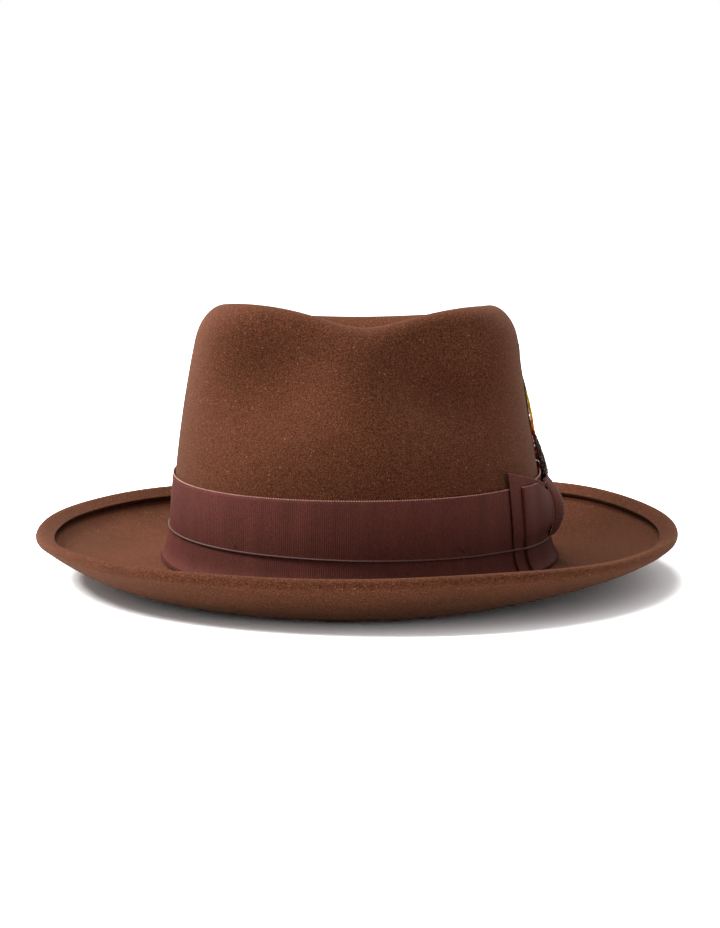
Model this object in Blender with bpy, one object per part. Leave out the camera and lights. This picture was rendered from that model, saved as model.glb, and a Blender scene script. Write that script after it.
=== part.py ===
"""A brown wool-felt fedora with a grosgrain band, a flat bow, a feather spray and a full inside.

Metres, +Z up. The origin is the centre of the head opening, level with the break between crown
and brim at the sides. The front of the hat faces -Y, and the wearer's left is +X.
"""

import math

import bpy
import numpy as np

MM = 0.001

# Felt. The ovals are measured on the middle of the felt's thickness.
FELT = 2.4 * MM
OVAL_WIDTH = 83.4 * MM
OVAL_LENGTH = 102.3 * MM
OVAL_SQUARENESS = (0.022, 0.055)
OVAL_EGG = 0.02
CROWN_CENTRE_Y = 4.0 * MM
CREST_HEIGHT = 112.7 * MM
CREST_FALL = 10.2 * MM
CREST_EDGE = 106.0 * MM
CREST_RISE = 2.7 * MM
CREST_DROP = 7.5 * MM
FRONT_DIP = 15.1 * MM
FRONT_DIP_WIDTH = 0.59
FRONT_DIP_SIDE = 0.063
DENT_DEPTH = 27.0 * MM
SHOULDER = 10.6 * MM
PINCH_DEPTH = 11.0 * MM
PINCH_PLACE = (36.0 * MM, -72.0 * MM, 86.0 * MM)
PINCH_SPREAD = (19.0 * MM, 24.0 * MM, 20.0 * MM)
BREAK_DROP = 1.8 * MM

# Brim, turned up all round, with its edge folded back on top as a welt.
BRIM_SIDE = 60.2 * MM
BRIM_FRONT = 58.9 * MM
BRIM_RIM = 10.2 * MM
BRIM_DIP_SIDE = 5.0 * MM
BRIM_DIP_FRONT = 7.2 * MM
WELT_GAP = 0.8 * MM

# Trim on the outside of the crown.
GAP = 0.3 * MM
RIBBON = 0.9 * MM
RIBBON_TOP = 38.5 * MM
RIBBON_BOTTOM = 1.6 * MM
RIBBON_FLARE = 0.24
CORD_BITE = 1.5 * MM
CORD_RADIUS = 0.45 * MM
CORD_SIDE = 15.0 * MM
CORD_FRONT = 12.6 * MM
CORD_BOW = 11.6 * MM
BOW_FRONT = -0.655
BOW_REAR = 0.44
BOW_KNOT = -0.09
BOW_LEAN = 1.0
BOW_MIDDLE = 20.0 * MM
LOOP_LIFT = 5.2 * MM

# Feather spray, pushed down behind the bow.
SPRAY_ANGLE = 0.085
SPRAY_SLOPE = -0.06
BINDING_BOTTOM = 16.0 * MM
BINDING_TOP = 31.0 * MM

# Inside of the hat.
LEATHER = 1.1 * MM
SWEATBAND_TOP = 39.0 * MM
SWEATBAND_BOTTOM = 3.0 * MM
SATIN = 0.5 * MM

# How finely the surfaces are divided: columns round the crown, and rows along the felt's section,
# given as shares of the way from the middle of the dent to the rim.
COLUMNS = 60
INNER_COLUMNS = 30
DENT_ROWS = tuple(0.06 + 0.048 * row for row in range(6))
SHOULDER_ROWS = tuple(0.326 + 0.026 * row for row in range(5))
WALL_ROWS = (0.495, 0.55, 0.60)
FOLD_ROWS = (0.64, 0.665, 0.69, 0.715, 0.74, 0.77)
BRIM_ROWS = (0.80, 0.83, 0.86)
RIM_ROWS = (0.885, 0.91, 0.94, 1.0)


def smooth(value):
    """0 below 0, 1 above 1, and an even curve between."""
    t = np.clip(value, 0.0, 1.0)
    return t * t * (3.0 - 2.0 * t)


def clear_scene():
    for obj in list(bpy.data.objects):
        bpy.data.objects.remove(obj)


def make_material(name, colour, roughness, metallic=0.0, alpha=1.0):
    material = bpy.data.materials.new(name)
    material.use_nodes = True
    shader = material.node_tree.nodes["Principled BSDF"]
    shader.inputs["Base Color"].default_value = (*colour, 1.0)
    shader.inputs["Roughness"].default_value = roughness
    shader.inputs["Metallic"].default_value = metallic
    shader.inputs["Alpha"].default_value = alpha
    return material


# ---------------------------------------------------------------- the crown as a surface


def break_level(angle):
    """The break between crown and brim runs a little lower at the front and back."""
    return -BREAK_DROP * math.sin(angle) ** 2


def oval(angle, height):
    """Plan position of the crown wall at a height: an ellipse, squared a little towards the top."""
    rise = height / CREST_HEIGHT
    width = OVAL_WIDTH - 0.02 * height - 0.98 * height**2
    length = OVAL_LENGTH - 0.03 * height - 1.60 * height**2
    square = 1.0 + (OVAL_SQUARENESS[0] + OVAL_SQUARENESS[1] * rise) * math.sin(2.0 * angle) ** 2
    x = width * math.cos(angle) * square * (1.0 + OVAL_EGG * math.sin(angle))
    y = length * math.sin(angle) * square
    return np.array((x, y))


def oval_normal(angle):
    across = np.array((math.cos(angle) / OVAL_WIDTH, math.sin(angle) / OVAL_LENGTH))
    return across / np.linalg.norm(across)


def crest_level(angle):
    """Height of the crown's edge: highest at the two front peaks, falling to the back and to the front dip."""
    back = math.sin(angle)
    across = (math.cos(angle) - FRONT_DIP_SIDE) / FRONT_DIP_WIDTH
    dip = FRONT_DIP * math.exp(-(across**2)) * smooth(-2.0 * back)
    return CREST_HEIGHT - CREST_FALL * back - dip


def brim_level(angle, out):
    """Height of the brim at a share of its width: it dips from the break, then turns up to the rim."""
    front = math.sin(angle) ** 2
    dip = BRIM_DIP_SIDE + (BRIM_DIP_FRONT - BRIM_DIP_SIDE) * front
    start = break_level(angle)
    return start + (BRIM_RIM - start) * out**3 - dip * math.sin(math.pi * out**0.9)


def section_controls(angle):
    """Control points of the felt's section at an angle, from the middle of the dent out to the rim."""
    crest = crest_level(angle)
    floor = CREST_HEIGHT - DENT_DEPTH
    centre = np.array((0.0, CROWN_CENTRE_Y))
    edge = oval(angle, CREST_EDGE)
    normal = oval_normal(angle)
    ridge = edge - normal * SHOULDER
    points = [(*centre, floor)]
    for share, drop in ((0.3, 1.0), (0.55, 0.84), (0.80, 0.38)):
        points.append((*(centre + share * (ridge - centre)), crest - drop * (crest - floor)))
    points.append((*ridge, crest + CREST_RISE))
    points.append((*edge, crest - CREST_DROP))
    for share in (0.84, 0.68, 0.52, 0.36, 0.20, 0.08):
        points.append((*oval(angle, crest * share), crest * share))
    points.append((*oval(angle, 0.0), break_level(angle)))
    width = BRIM_SIDE + (BRIM_FRONT - BRIM_SIDE) * math.sin(angle) ** 2
    for share in (0.15, 0.35, 0.55, 0.75, 0.90, 1.0):
        place = oval(angle, 0.0) + normal * width * share
        points.append((*place, brim_level(angle, share)))
    return np.array(points)


def spline(controls, places):
    """Uniform cubic B-spline through the first and last control points, at places from 0 to 1."""
    ends = 2
    padded = np.vstack([controls[:1]] * ends + [controls] + [controls[-1:]] * ends)
    spans = len(padded) - 3
    found = []
    for place in places:
        at = min(place * spans, spans - 1e-9)
        first = int(at)
        t = at - first
        weights = np.array(
            (
                (1.0 - t) ** 3,
                3.0 * t**3 - 6.0 * t**2 + 4.0,
                -3.0 * t**3 + 3.0 * t**2 + 3.0 * t + 1.0,
                t**3,
            )
        )
        found.append(weights @ padded[first : first + 4] / 6.0)
    return np.array(found)


def pinch(points):
    """Pushes the two front pinches into the crown."""
    moved = points.copy()
    for side in (-1.0, 1.0):
        place = np.array((side * PINCH_PLACE[0], PINCH_PLACE[1], PINCH_PLACE[2]))
        away = (points - place) / np.array(PINCH_SPREAD)
        depth = PINCH_DEPTH * np.exp(-0.5 * np.sum(away**2, axis=-1))
        moved[..., 0] -= side * 0.35 * depth
        moved[..., 1] += 0.93 * depth
    return moved


def surface_normals(grid):
    """Unit normals of a grid of points whose columns close on themselves."""
    around = np.roll(grid, -1, axis=1) - np.roll(grid, 1, axis=1)
    along = np.gradient(grid, axis=0)
    normals = np.cross(along, around)
    length = np.linalg.norm(normals, axis=-1, keepdims=True)
    return normals / np.maximum(length, 1e-12)


def felt_grid(places, count):
    """Middle of the felt as rows from the dent to the rim, with count columns round the crown."""
    angles = [2.0 * math.pi * column / count for column in range(count)]
    columns = [spline(section_controls(angle), places) for angle in angles]
    return pinch(np.stack(columns, axis=1))


def on_crown(angle, height, lift):
    """A point that stands off the felt's outer face by lift, at a height above the opening."""
    flare = 1.5 * MM * max(0.0, (9.0 * MM - height) / (7.75 * MM)) ** 3
    flat = oval(angle, height) + oval_normal(angle) * (FELT / 2.0 + flare + lift)
    return np.array((*flat, height))


def inside_crown(angle, height, depth):
    """A point that stands off the felt's inner face by depth, towards the head."""
    flat = oval(angle, height) - oval_normal(angle) * (FELT / 2.0 + depth)
    return np.array((*flat, height))


# ---------------------------------------------------------------- meshes


def add_object(name, data, material):
    data.materials.append(material)
    obj = bpy.data.objects.new(name, data)
    bpy.context.scene.collection.objects.link(obj)
    return obj


def grid_object(name, grid, material, closed=False, capped=False):
    """A mesh over a grid of points. closed joins the last column to the first, and capped fills the first row."""
    rows, columns = grid.shape[:2]
    faces = []
    for row in range(rows - 1):
        for column in range(columns if closed else columns - 1):
            right = (column + 1) % columns
            low, high = row * columns, (row + 1) * columns
            faces.append((low + column, high + column, high + right, low + right))
    points = [tuple(point) for point in grid.reshape(-1, 3)]
    if capped:
        points.append(tuple(grid[0].mean(axis=0)))
        for column in range(columns):
            faces.append((len(points) - 1, column, (column + 1) % columns))
    mesh = bpy.data.meshes.new(name)
    mesh.from_pydata(points, [], faces)
    mesh.validate()
    mesh.shade_smooth()
    return add_object(name, mesh, material)


def thicken(obj, thickness, offset):
    """Turns a sheet into a solid. offset 1 grows outwards, -1 inwards and 0 both ways."""
    solid = obj.modifiers.new("Thickness", "SOLIDIFY")
    solid.thickness = thickness
    solid.offset = offset
    solid.use_even_offset = True
    return obj


def sheet(name, point, rows, columns, thickness, material, closed=False, offset=1.0):
    """A sheet of cloth, leather or feather. point(u, v) gives its place, u along the crown and v up."""
    grid = []
    for row in range(rows):
        line = []
        for column in range(columns):
            last = columns if closed else columns - 1
            line.append(point(column / last, 1.0 - row / (rows - 1)))
        grid.append(line)
    obj = grid_object(name, np.array(grid), material, closed)
    return thicken(obj, thickness, offset)


def tube(name, points, radius, material, closed):
    """A round cord along points, with flat ends where it isn't closed."""
    curve = bpy.data.curves.new(name, "CURVE")
    curve.dimensions = "3D"
    curve.bevel_depth = radius
    curve.bevel_resolution = 1
    curve.use_fill_caps = True
    line = curve.splines.new("POLY")
    line.points.add(len(points) - 1)
    for index, point in enumerate(points):
        line.points[index].co = (*point, 1.0)
    line.use_cyclic_u = closed
    return add_object(name, curve, material)


# ---------------------------------------------------------------- the felt


def make_felt(material):
    """Crown and brim are one piece of felt, whose rim is rolled over and lies on the brim as a welt."""
    rows = DENT_ROWS + SHOULDER_ROWS + WALL_ROWS + FOLD_ROWS + BRIM_ROWS + RIM_ROWS
    grid = felt_grid(rows, COLUMNS)
    normals = surface_normals(grid)
    rim, up = grid[-1], normals[-1]
    out = rim - grid[-2]
    out /= np.linalg.norm(out, axis=-1, keepdims=True)
    radius = (FELT + WELT_GAP) / 2.0
    folded = list(grid)
    for turn in np.radians((45.0, 90.0, 135.0)):
        folded.append(rim + radius * (out * math.sin(turn) + up * (1.0 - math.cos(turn))))
    for row in range(1, len(RIM_ROWS) + 1):
        folded.append(grid[-row] + 2.0 * radius * normals[-row])
    obj = grid_object("felt_body", np.array(folded), material, closed=True, capped=True)
    return thicken(obj, FELT, 0.0)


# ---------------------------------------------------------------- band, cord and bow


def cord_height(angle):
    """The cord runs higher on the right of the head than at the front and under the bow."""
    side = CORD_SIDE * max(0.0, -math.cos(angle)) + CORD_BOW * max(0.0, math.cos(angle))
    share = abs(math.cos(angle))
    return side + CORD_FRONT * (1.0 - share)


def ribbon_lift(angle, height):
    """The band lies on the felt, and flares out below the cord, which pulls it in."""
    below = cord_height(angle) - CORD_BITE - height
    return GAP + RIBBON_FLARE * max(0.0, below)


def band_height(angle, share):
    low = RIBBON_BOTTOM + break_level(angle)
    high = RIBBON_TOP + 0.5 * break_level(angle)
    return low + (high - low) * share


def make_ribbon(material):
    def point(u, v):
        angle = 2.0 * math.pi * u
        height = band_height(angle, v**1.6)
        return on_crown(angle, height, ribbon_lift(angle, height))

    return sheet("ribbon_band", point, 5, COLUMNS, RIBBON, material, closed=True)


def over_ribbon(angle, height, lift):
    return on_crown(angle, height, ribbon_lift(angle, height) + RIBBON + lift)


def cord_cover(angle):
    """How far the bow holds the cord off the band."""
    turn = math.remainder(angle, 2.0 * math.pi)
    tab = smooth((turn - BOW_FRONT + 0.16) / 0.14) * 1.7 * MM
    loops = smooth((turn - BOW_FRONT - 0.01) / 0.12) * 1.3 * MM
    rear = 1.0 - smooth((turn - BOW_REAR - 0.02) / 0.16)
    return (tab + loops) * rear


def make_cord(material):
    count = 90
    points = []
    for index in range(count):
        angle = 2.0 * math.pi * index / count
        lift = GAP + CORD_RADIUS + cord_cover(angle)
        points.append(over_ribbon(angle, cord_height(angle), lift))
    return tube("wind_cord", points, CORD_RADIUS, material, closed=True)


def make_cord_knot(material):
    """The knot that joins the cord's ends, at the back, tucked up above the cord."""

    def point(u, v):
        angle = math.radians(90.0) + (u - 0.5) * 0.05
        height = cord_height(angle) + (1.0 + 2.6 * v) * MM
        bulge = 0.4 * MM * math.sin(math.pi * u)
        return over_ribbon(angle, height, GAP + bulge)

    return sheet("wind_cord_knot", point, 4, 5, 1.5 * MM, material)


def squeeze(height):
    """0 where the cord presses the bow flat, 1 where the bow stands free above it."""
    return smooth((height - 12.5 * MM) / (5.5 * MM))


def bow_sheet(name, span, top, bottom, flat, full, thickness, material, columns):
    """One layer of the bow: span is its angles, top and bottom its edges, flat and full its lift over the band."""

    def point(u, v):
        angle = span[0] + (span[1] - span[0]) * u
        high, low = top(u), bottom(u)
        height = low + (high - low) * v
        lean = BOW_LEAN * (1.0 - u) * (height - BOW_MIDDLE)
        pressed = squeeze(height)
        lift = flat(u) + (full(u) - flat(u)) * pressed
        return over_ribbon(angle - lean, height, lift)

    return sheet(name, point, 8, columns, thickness, material)


def make_bow_tab(material):
    """The end of the band, folded flat, that the bow lies on."""
    return bow_sheet(
        "bow_tab_front",
        (BOW_FRONT, -0.26),
        lambda u: (45.5 - 9.5 * u) * MM,
        lambda u: (2.2 + 0.8 * u) * MM,
        lambda u: 0.5 * MM,
        lambda u: (0.5 + 2.0 * u) * MM,
        0.8 * MM,
        material,
        7,
    )


def make_loop(name, span, knot_at, fall_from, free_lift, material):
    """A pleated loop, gathered under the knot at one end. From fall_from it comes down to free_lift."""

    def gathered(u):
        return smooth((abs(u - knot_at) - 0.08) / 0.5)

    return bow_sheet(
        name,
        span,
        lambda u: (29.0 + 9.0 * gathered(u)) * MM,
        lambda u: (3.0 + 0.2 * abs(u - knot_at)) * MM,
        lambda u: (1.65 + 0.2 * (1.0 - abs(u - knot_at))) * MM,
        lambda u: LOOP_LIFT - (LOOP_LIFT - free_lift) * smooth((abs(u - knot_at) - fall_from) / 0.8),
        0.9 * MM,
        material,
        9,
    )


def make_tail(material):
    """The other end of the band, which covers the quills of the feathers."""
    return bow_sheet(
        "bow_tail",
        (-0.005, BOW_REAR),
        lambda u: (35.5 - 1.5 * u) * MM,
        lambda u: 2.8 * MM,
        lambda u: 0.5 * MM,
        lambda u: (3.1 - 2.6 * smooth((u - 0.36) / 0.5)) * MM,
        0.7 * MM,
        material,
        9,
    )


def make_knot(material):
    """The strap that wraps the middle of the bow, its upper end tucked down to the band."""

    def point(u, v):
        angle = BOW_KNOT + (u - 0.5) * 0.135
        height = (13.6 + 23.5 * v) * MM
        belly = math.sin(math.pi * (0.18 + 0.80 * v)) ** 0.8
        lift = (0.6 + 6.9 * belly) * MM + 0.5 * MM * math.sin(math.pi * u)
        return over_ribbon(angle, height, lift)

    return sheet("bow_knot", point, 10, 5, 0.9 * MM, material)


def make_tacks(material):
    """Four short stitches that hold the band to the felt, just above the cord."""
    for name, degrees in (
        ("tack_front_left", -59.0),
        ("tack_front_right", -128.0),
        ("tack_rear_right", 140.0),
        ("tack_rear_left", 52.0),
    ):
        angle = math.radians(degrees)
        ends = []
        for share in (-1.0, 0.0, 1.0):
            height = cord_height(angle) + (3.6 + 1.3 * share) * MM
            ends.append(over_ribbon(angle - 0.018 * share, height, 0.55 * MM))
        tube(name, ends, 0.22 * MM, material, closed=False)


# ---------------------------------------------------------------- feathers


def spray_frame():
    """The empty that the spray hangs from, on the line that the quills slide along."""
    frame = bpy.data.objects.new("feather_slide", None)
    bpy.context.scene.collection.objects.link(frame)
    frame.location = over_ribbon(SPRAY_ANGLE, BINDING_BOTTOM, 1.0 * MM)
    return frame


def ride(obj, frame):
    """Parents a piece to the spray's empty and leaves it where it is."""
    obj.parent = frame
    obj.location = -frame.location


def make_blade(name, low, high, width, lean, lifts, thickness, material, rows=9):
    """One feather: a narrow leaf that lies along the crown. lifts are at its foot, its belly and its tip."""

    def point(u, v):
        height = low + (high - low) * v
        swell = math.sin(math.pi * min(1.0, 0.06 + 0.93 * v)) ** 0.6
        half = 0.5 * width * (0.16 + 0.84 * swell)
        middle = SPRAY_ANGLE + lean * v + 0.3 * lean * v * v
        angle = middle + (2.0 * u - 1.0) * half / OVAL_LENGTH
        foot, belly, tip = lifts
        lift = foot * (1.0 - v) ** 2 + 2.0 * belly * v * (1.0 - v) + tip * v * v
        return on_crown(angle, height, lift)

    return sheet(name, point, rows, 5, thickness, material)


def make_binding(material):
    """The thread and paper that hold the quills together."""

    def point(u, v):
        height = BINDING_BOTTOM + (BINDING_TOP - BINDING_BOTTOM) * v
        half = (2.4 + 0.8 * v) * MM
        angle = SPRAY_ANGLE + (2.0 * u - 1.0) * half / OVAL_LENGTH
        base = on_crown(SPRAY_ANGLE, BINDING_BOTTOM, GAP + RIBBON + 0.35 * MM)
        slope = SPRAY_SLOPE * (height - BINDING_BOTTOM)
        wall = on_crown(angle, BINDING_BOTTOM, GAP + RIBBON + 0.35 * MM)
        return np.array((max(wall[0], base[0] - 0.2 * MM) + slope, wall[1], height))

    return sheet("quill_binding", point, 5, 5, 1.5 * MM, material)


def make_feathers(materials):
    foot = BINDING_TOP + 0.4 * MM
    pieces = [
        make_binding(materials["thread"]),
        make_blade(
            "feather_dark", foot, 95.0 * MM, 13.0 * MM, 0.10,
            (1.6 * MM, 1.2 * MM, 0.5 * MM), 0.4 * MM, materials["dark"], 12,
        ),
        make_blade(
            "feather_golden", foot, 84.0 * MM, 11.0 * MM, 0.07,
            (2.3 * MM, 1.9 * MM, 1.3 * MM), 0.4 * MM, materials["golden"], 11,
        ),
        make_blade(
            "feather_red", foot, 68.0 * MM, 10.0 * MM, 0.03,
            (3.0 * MM, 2.6 * MM, 2.1 * MM), 0.4 * MM, materials["red"],
        ),
        make_blade(
            "feather_speckled", foot, 60.0 * MM, 13.0 * MM, 0.05,
            (3.65 * MM, 3.9 * MM, 2.8 * MM), 0.5 * MM, materials["speckled"],
        ),
    ]
    frame = spray_frame()
    for piece in pieces:
        ride(piece, frame)


# ---------------------------------------------------------------- inside


def make_sweatband(material):
    def point(u, v):
        angle = -2.0 * math.pi * u
        low = SWEATBAND_BOTTOM + break_level(angle)
        height = low + (SWEATBAND_TOP - low) * v
        return inside_crown(angle, height, 1.7 * MM)

    return sheet("sweatband", point, 5, INNER_COLUMNS, LEATHER, material, closed=True)


def make_reed(material):
    """The piped tape that the sweatband's lower edge is sewn to."""
    points = []
    for index in range(2 * INNER_COLUMNS):
        angle = math.pi * index / INNER_COLUMNS
        points.append(inside_crown(angle, 1.2 * MM + break_level(angle), 1.9 * MM))
    return tube("sweatband_reed", points, 1.0 * MM, material, closed=True)


def make_seam_strip(material):
    """The strip that covers the sweatband's joint at the back of the head."""

    def point(u, v):
        angle = math.radians(90.0) - (u - 0.5) * 0.17
        height = 6.0 * MM + (SWEATBAND_TOP - 8.0 * MM) * v
        return inside_crown(angle, height, 2.3 * MM + LEATHER)

    return sheet("sweatband_seam", point, 4, 5, 0.7 * MM, material)


def make_rear_bow(material):
    """The little flat bow that ties the sweatband at the back."""

    def point(u, v):
        side = 2.0 * u - 1.0
        angle = math.radians(90.0) - side * 0.11
        height = (13.0 + (v - 0.5) * (3.0 + 4.5 * abs(side))) * MM
        waist = 0.8 * MM * (1.0 - abs(side))
        return inside_crown(angle, height, 3.4 * MM + LEATHER + waist)

    return sheet("sweatband_bow", point, 3, 7, 1.0 * MM, material)


def make_label(material):
    """The plain size ticket, tucked between sweatband and lining."""

    def point(u, v):
        angle = math.radians(112.0) - (u - 0.5) * 0.22
        height = (22.0 + 12.0 * v) * MM
        return inside_crown(angle, height, 0.75 * MM)

    return sheet("size_label", point, 3, 5, 0.4 * MM, material)


def make_lining(satin, clear):
    """Satin inside the crown: a side band above the leather, the top panel and its clear shield."""
    side_depth = FELT / 2.0 + 0.6 * MM
    tip_depth = FELT / 2.0 + 1.4 * MM

    def layer(name, rows, stand_off, thickness, material, capped):
        grid = felt_grid(rows, INNER_COLUMNS)
        grid = grid - stand_off * surface_normals(grid)
        obj = grid_object(name, grid, material, closed=True, capped=capped)
        return thicken(obj, thickness, -1.0)

    layer("lining_sides", SHOULDER_ROWS[3:] + WALL_ROWS[:1], side_depth, SATIN, satin, False)
    layer("lining_tip", DENT_ROWS + SHOULDER_ROWS[:3], tip_depth, SATIN, satin, True)
    layer("tip_shield", DENT_ROWS[:4], tip_depth + SATIN + GAP, 0.4 * MM, clear, True)


def main():
    clear_scene()
    felt = make_material("felt", (0.142, 0.046, 0.022), 0.95)
    grosgrain = make_material("grosgrain", (0.095, 0.033, 0.027), 0.7)
    cord = make_material("cord", (0.12, 0.05, 0.04), 0.6)
    thread = make_material("thread", (0.05, 0.02, 0.015), 0.7)
    leather = make_material("leather", (0.11, 0.045, 0.022), 0.5)
    satin = make_material("satin", (0.16, 0.09, 0.05), 0.35)
    clear = make_material("clear", (0.9, 0.9, 0.9), 0.1, alpha=0.3)
    paper = make_material("paper", (0.8, 0.77, 0.7), 0.8)
    feathers = {
        "thread": thread,
        "dark": make_material("feather_dark", (0.02, 0.025, 0.015), 0.5),
        "golden": make_material("feather_golden", (0.85, 0.45, 0.03), 0.5),
        "red": make_material("feather_red", (0.5, 0.03, 0.01), 0.5),
        "speckled": make_material("feather_speckled", (0.12, 0.11, 0.08), 0.7),
    }
    make_felt(felt)
    make_ribbon(grosgrain)
    make_cord(cord)
    make_cord_knot(cord)
    make_bow_tab(grosgrain)
    make_loop("bow_loop_front", (BOW_FRONT + 0.09, -0.045), 0.90, 0.1, 2.1 * MM, grosgrain)
    make_loop("bow_loop_rear", (-0.035, BOW_REAR - 0.04), 0.0, 0.35, 1.9 * MM, grosgrain)
    make_tail(grosgrain)
    make_knot(grosgrain)
    make_tacks(thread)
    make_feathers(feathers)
    make_sweatband(leather)
    make_reed(leather)
    make_seam_strip(leather)
    make_rear_bow(grosgrain)
    make_label(paper)
    make_lining(satin, clear)


main()
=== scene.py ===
"""The looks of the fedora: fine felt, ribbed grosgrain, a tied bow, real feathers and the inside."""

import math

import bpy
import mathutils
import numpy as np
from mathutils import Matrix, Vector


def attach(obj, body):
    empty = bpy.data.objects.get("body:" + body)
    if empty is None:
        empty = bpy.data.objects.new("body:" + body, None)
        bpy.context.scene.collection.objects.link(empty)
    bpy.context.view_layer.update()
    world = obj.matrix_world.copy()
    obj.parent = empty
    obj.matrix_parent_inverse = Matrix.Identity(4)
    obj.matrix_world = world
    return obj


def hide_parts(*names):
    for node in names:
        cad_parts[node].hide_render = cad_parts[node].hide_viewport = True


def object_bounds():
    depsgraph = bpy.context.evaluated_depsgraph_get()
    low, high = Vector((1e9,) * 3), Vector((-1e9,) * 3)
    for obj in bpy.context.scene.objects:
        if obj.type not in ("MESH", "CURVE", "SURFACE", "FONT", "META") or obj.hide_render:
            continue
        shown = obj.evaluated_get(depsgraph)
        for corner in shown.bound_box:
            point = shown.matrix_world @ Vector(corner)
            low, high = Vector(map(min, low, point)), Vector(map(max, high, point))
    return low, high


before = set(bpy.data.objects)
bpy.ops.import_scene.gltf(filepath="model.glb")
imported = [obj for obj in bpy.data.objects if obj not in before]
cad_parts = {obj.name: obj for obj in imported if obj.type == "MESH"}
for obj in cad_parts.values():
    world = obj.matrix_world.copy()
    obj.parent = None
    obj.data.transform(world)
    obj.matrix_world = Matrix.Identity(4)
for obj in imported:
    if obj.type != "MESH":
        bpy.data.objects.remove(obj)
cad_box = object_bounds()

MM = 0.001
TURN = 2.0 * math.pi
BACK = math.radians(90.0)
rng = np.random.default_rng(58)

# Felt, measured on the middle of its thickness. Its main dimensions are the CAD's. The two pinches,
# the welt, the flat behind the feathers and the rise of the rim are set here and differ from the CAD.
FELT = 2.4 * MM
OVAL_WIDTH = 83.4 * MM
OVAL_LENGTH = 102.3 * MM
OVAL_SQUARENESS = (0.022, 0.055)
OVAL_EGG = 0.02
SPRAY_FLAT = 1.9 * MM  # how far the crown is pressed in behind the feathers
SPRAY_FLAT_LOW = (36.0 * MM, 20.0 * MM)  # height at which the flat starts, and its easing
SPRAY_FLAT_HIGH = (82.0 * MM, 20.0 * MM)
CROWN_CENTRE_Y = 4.0 * MM
CREST_HEIGHT = 112.7 * MM
CREST_FALL = 10.2 * MM
CREST_EDGE = 106.0 * MM
CREST_RISE = 2.7 * MM
CREST_DROP = 7.5 * MM
FRONT_DIP = 15.1 * MM
FRONT_DIP_WIDTH = 0.59
FRONT_DIP_SIDE = 0.063
DENT_DEPTH = 27.0 * MM
SHOULDER = 10.6 * MM
PINCH_DEPTH = 17.0 * MM
PINCH_PLACE = (36.0 * MM, -72.0 * MM, 86.0 * MM)
PINCH_SPREAD = (19.0 * MM, 26.0 * MM, 17.0 * MM)
BREAK_DROP = 1.8 * MM
BRIM_SIDE = 60.2 * MM
BRIM_FRONT = 58.9 * MM
BRIM_RIM = 10.2 * MM
BRIM_DIP_SIDE = 5.0 * MM
BRIM_DIP_FRONT = 7.2 * MM
WELT_GAP = 0.5 * MM
WELT_FROM = 0.915
RIM_REACH = (1.1, 0.6)  # where the waver starts, as a share of the oval's size, and its easing
RIM_WAVES = ((0.45, 3.0, 0.7), (0.3, 5.0, 2.1), (0.18, 9.0, 0.4))  # height in mm, count, start
REAR_RISE = 3.4  # mm added to the rim on the bow's side, towards the back
FRONT_RISE = 2.8  # mm added midway across the brim on the bow's side, towards the front

# Trim.
RIBBON = 0.5 * MM
RIBBON_TOP = 38.5 * MM
RIBBON_BOTTOM = 0.9 * MM
RIBBON_FLARE = 0.16
CORD_BITE = 1.5 * MM
BAND_REST = 0.35 * MM
RIB_PITCH = 1.05 * MM
RIB_RELIEF = 0.19 * MM
CORD_SIDE = 15.0 * MM
CORD_FRONT = 12.6 * MM
CORD_BOW = 11.6 * MM

EDGE_TURNS = 480  # turns of the weft round the band's woven edge
COLUMNS = 420


# ---------------------------------------------------------------- the crown as a surface


def smooth(value):
    """0 below 0, 1 above 1, and an even curve between."""
    t = np.clip(value, 0.0, 1.0)
    return t * t * (3.0 - 2.0 * t)


def break_level(angle):
    return -BREAK_DROP * np.sin(angle) ** 2


def oval(angle, height):
    """Plan position of the middle of the crown wall at a height."""
    rise = height / CREST_HEIGHT
    width = OVAL_WIDTH - 0.02 * height - 0.98 * height**2
    length = OVAL_LENGTH - 0.03 * height - 1.60 * height**2
    square = 1.0 + (OVAL_SQUARENESS[0] + OVAL_SQUARENESS[1] * rise) * np.sin(2.0 * angle) ** 2
    started = smooth((height - SPRAY_FLAT_LOW[0]) / SPRAY_FLAT_LOW[1])
    ended = smooth((height - SPRAY_FLAT_HIGH[0]) / SPRAY_FLAT_HIGH[1])
    flat = SPRAY_FLAT * np.clip(np.cos(angle), 0.0, 1.0) ** 6 * (started * (1.0 - ended))
    x = width * np.cos(angle) * square * (1.0 + OVAL_EGG * np.sin(angle)) - flat
    y = length * np.sin(angle) * square
    return np.stack(np.broadcast_arrays(x, y), axis=-1)


def oval_normal(angle):
    across = np.stack((np.cos(angle) / OVAL_WIDTH, np.sin(angle) / OVAL_LENGTH), axis=-1)
    return across / np.linalg.norm(across, axis=-1, keepdims=True)


def crest_level(angle):
    """Height of the crown's edge: two front peaks, falling to the back and to the front dip."""
    back = np.sin(angle)
    across = (np.cos(angle) - FRONT_DIP_SIDE) / FRONT_DIP_WIDTH
    dip = FRONT_DIP * np.exp(-(across**2)) * smooth(-2.0 * back)
    return CREST_HEIGHT - CREST_FALL * back - dip


def brim_level(angle, out):
    """Height of the brim at a share of its width: it dips from the break, then turns up."""
    front = np.sin(angle) ** 2
    dip = BRIM_DIP_SIDE + (BRIM_DIP_FRONT - BRIM_DIP_SIDE) * front
    start = break_level(angle)
    return start + (BRIM_RIM - start) * out**3 - dip * math.sin(math.pi * out**0.9)


def raised(plan, height):
    """Joins plan positions and heights to points."""
    height = np.broadcast_to(height, plan.shape[:-1])
    return np.concatenate([plan, height[..., None]], axis=-1)


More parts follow.
